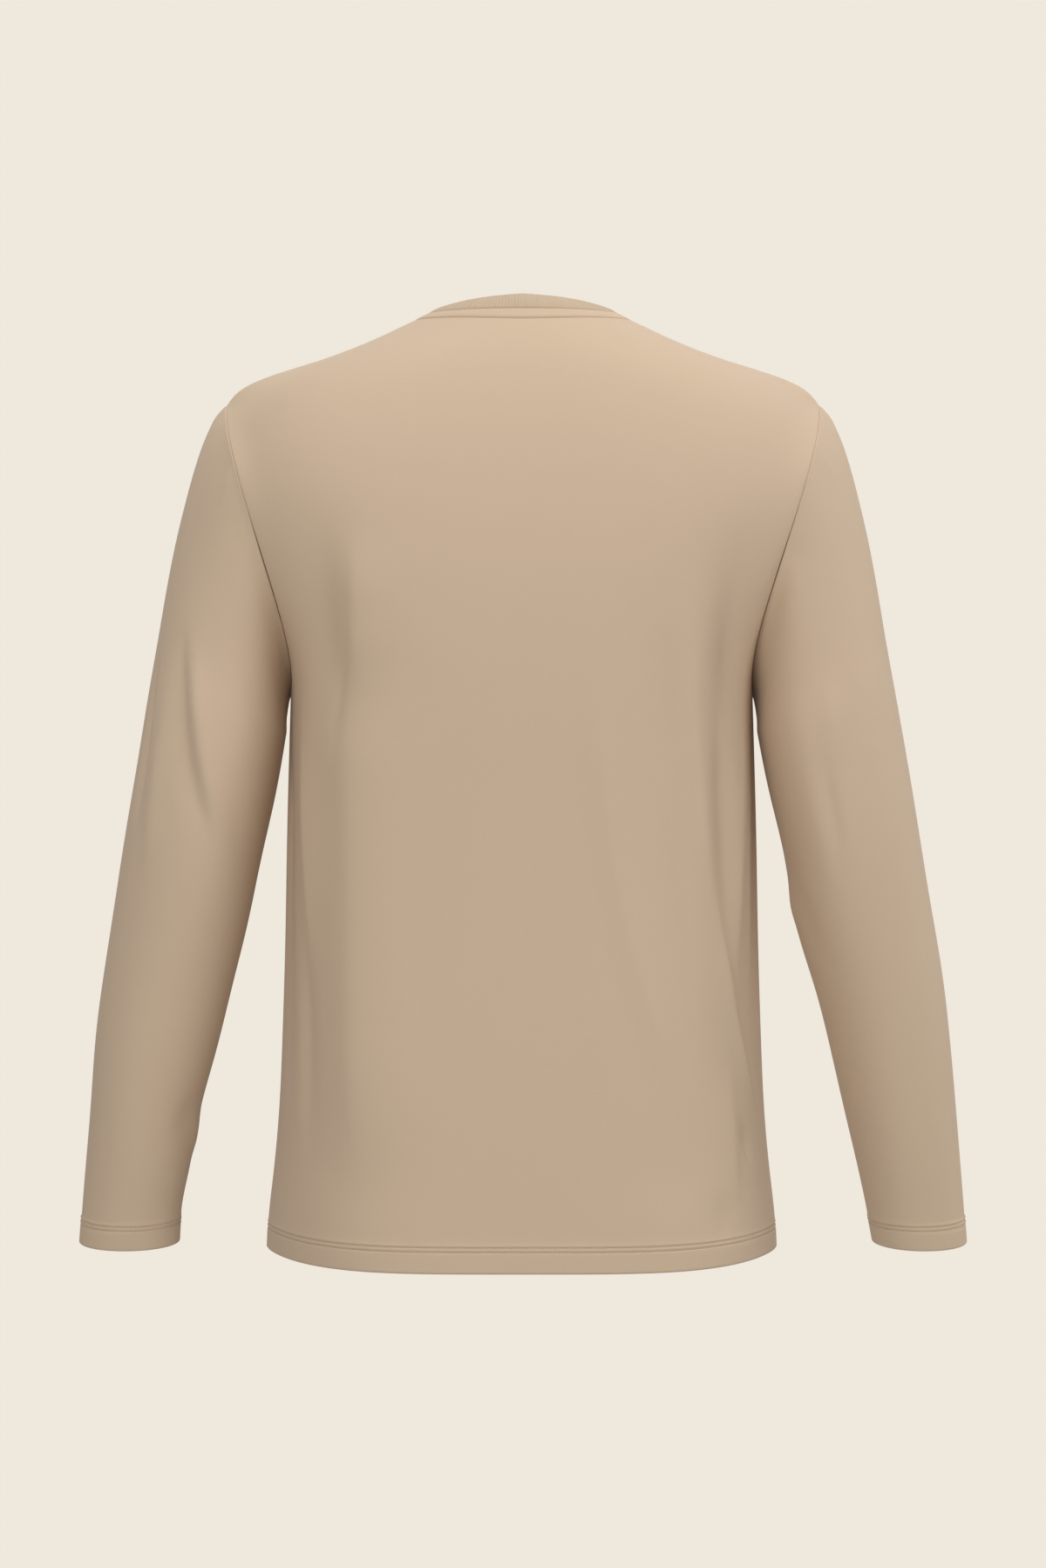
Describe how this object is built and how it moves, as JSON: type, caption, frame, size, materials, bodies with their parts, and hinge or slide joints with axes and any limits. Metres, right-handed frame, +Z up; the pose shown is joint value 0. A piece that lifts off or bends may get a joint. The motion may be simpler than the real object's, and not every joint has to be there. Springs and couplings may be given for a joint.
{
  "type": "long-sleeved t-shirt",
  "caption": "Long-sleeved crew-neck T-shirt in plain knit jersey: a hollow top with set-in sleeves and a ribbed neckband, filled out as if worn, open at neck, cuffs and hem.",
  "frame": {"origin": "centre of the neck opening, level with the points where the shoulder seams meet the neck rib", "axes": "+Z up, -Y the way the front faces, +X the wearer's left"},
  "size_m": [0.6741, 0.253, 0.7146],
  "materials": {
    "jersey": "matte",
    "rib": "matte"
  },
  "bodies": {
    "root": {"back_panel": "jersey", "front_panel": "jersey", "sleeve_left": "jersey", "sleeve_right": "jersey", "neck_rib": "rib"}
  },
  "joints": []
}
